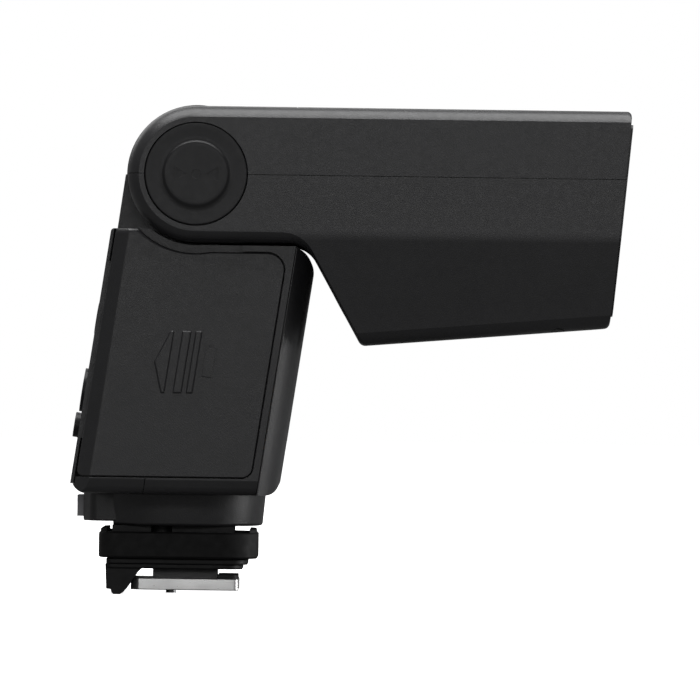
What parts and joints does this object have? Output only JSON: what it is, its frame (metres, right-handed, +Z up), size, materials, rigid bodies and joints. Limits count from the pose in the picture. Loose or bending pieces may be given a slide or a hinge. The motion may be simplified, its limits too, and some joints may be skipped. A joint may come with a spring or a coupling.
{
  "type": "speedlight flash",
  "caption": "Compact clip-on flash with a long tilting head, a leaning body, a side battery door and an accessory-shoe foot.",
  "frame": {"origin": "centre of the foot plate's underside, which rests on the camera's accessory shoe", "axes": "+X is where the light goes, +Y is the flash's left, +Z is up"},
  "size_m": [0.0944, 0.065, 0.0833],
  "materials": {
    "body_plastic": "fine moulded grain, satin black",
    "head_plastic": "fine moulded grain, satin black",
    "button_plastic": "smooth satin black",
    "foot_plastic": "smooth black nylon",
    "smoked_window": "dark smoked plastic window",
    "lamp_white": "milky lamp lens",
    "soft_grey_rubber": "silicone membrane",
    "board_green": "circuit board with solder mask",
    "tin_steel": "tinned steel",
    "winding": "enamelled copper winding",
    "chip_black": "moulded epoxy",
    "cell_jacket": "plain cell jacket with no print",
    "contact_metal": "plated spring contact",
    "soft_rubber": "matte black rubber",
    "shaft_steel": "turned steel",
    "spring_steel": "drawn spring wire",
    "screw_black": "black plated screw",
    "foot_metal": "satin metal foot plate",
    "gold_contact": "gold-plated contact",
    "clear_lens": "clear moulded prism lens",
    "reflector_mirror": "bright rolled aluminium",
    "boot_rubber": "silicone boot",
    "capacitor_sleeve": "dark shrink sleeve with no print",
    "bush_bronze": "sintered bronze",
    "lock_grey": "smooth mid grey"
  },
  "bodies": {
    "body": {"main_frame": "body_plastic", "hinge_bracket": "body_plastic", "side_rims": "body_plastic", "base_sole": "body_plastic", "front_cover": "body_plastic", "rear_panel": "body_plastic", "left_cover": "body_plastic", "indicator_window": "smoked_window", "indicator_leds": "lamp_white", "keypad_membrane": "soft_grey_rubber", "control_board": "board_green", "tact_switches": "tin_steel", "power_board": "board_green", "power_transformer": "winding", "board_components": "chip_black", "aa_cells": "cell_jacket", "bay_contacts": "contact_metal", "bay_spring": "contact_metal", "bay_seal": "soft_rubber", "tilt_shaft": "shaft_steel", "click_plate": "shaft_steel", "body_screws": "screw_black", "base_collar": "body_plastic", "foot_base": "foot_plastic", "shoe_skirt": "soft_rubber", "foot_plate": "foot_metal", "foot_screws": "shaft_steel", "contact_block": "foot_plastic", "contact_pins": "gold_contact", "lock_spring": "spring_steel"},
    "door_carriage": {"door_slider": "shaft_steel", "door_hinge_pin": "shaft_steel"},
    "door": {"battery_door": "body_plastic", "door_contacts": "contact_metal", "door_spring": "contact_metal"},
    "head": {"head_upper_shell": "head_plastic", "head_lower_shell": "head_plastic", "front_bezel": "body_plastic", "front_lens": "clear_lens", "reflector": "reflector_mirror", "flash_tube": "clear_lens", "tube_electrodes": "shaft_steel", "tube_boots": "boot_rubber", "trigger_board": "board_green", "trigger_coil": "winding", "main_capacitor": "capacitor_sleeve", "capacitor_cradle": "foot_plastic", "hinge_bushes": "bush_bronze", "left_hinge_cap": "button_plastic", "head_screws": "screw_black", "release_spring": "spring_steel"},
    "tilt_release": {"release_button": "button_plastic"},
    "plus": {"plus_button": "button_plastic"},
    "minus": {"minus_button": "button_plastic"},
    "test": {"test_button": "button_plastic"},
    "pairing": {"pairing_button": "button_plastic"},
    "power": {"power_switch": "button_plastic"},
    "foot_lock": {"lock_button": "lock_grey"},
    "foot_pin": {"lock_pin": "shaft_steel"}
  },
  "joints": [
    {"name": "head_tilt", "type": "hinge", "parent": "body", "child": "head", "pos_m": [0.0014, 0, 0.0705], "axis": [0, -1, 0], "range_deg": [0, 120]},
    {"name": "tilt_release_press", "type": "slide", "parent": "head", "child": "tilt_release", "axis": [0, 1, 0], "range_m": [0, 0.0015], "deforming": ["release_spring"]},
    {"name": "door_slide", "type": "slide", "parent": "body", "child": "door_carriage", "axis": [-1, 0, 0], "range_m": [0, 0.0035]},
    {"name": "door_swing", "type": "hinge", "parent": "door_carriage", "child": "door", "pos_m": [-0.01377, -0.0286, 0.04095], "axis": [-0.1461, 0, -0.9893], "range_deg": [0, 90]},
    {"name": "plus_press", "type": "slide", "parent": "body", "child": "plus", "axis": [0.9893, 0, -0.1461], "range_m": [0, 0.0004]},
    {"name": "minus_press", "type": "slide", "parent": "body", "child": "minus", "axis": [0.9893, 0, -0.1461], "range_m": [0, 0.0004]},
    {"name": "test_press", "type": "slide", "parent": "body", "child": "test", "axis": [0.9893, 0, -0.1461], "range_m": [0, 0.0005]},
    {"name": "pairing_press", "type": "slide", "parent": "body", "child": "pairing", "axis": [0.9893, 0, -0.1461], "range_m": [0, 0.0003]},
    {"name": "power_slide", "type": "slide", "parent": "body", "child": "power", "axis": [0, 1, 0], "range_m": [-0.003, 0.003]},
    {"name": "foot_lock_press", "type": "slide", "parent": "body", "child": "foot_lock", "axis": [1, 0, 0], "range_m": [0, 0.0015]},
    {"name": "foot_pin_lift", "type": "slide", "parent": "body", "child": "foot_pin", "axis": [0, 0, 1], "range_m": [0, 0.0012], "deforming": ["lock_spring"]}
  ],
  "couplings": [
    {"joint": "foot_pin_lift", "follows": "foot_lock_press", "ratio": 0.8}
  ]
}
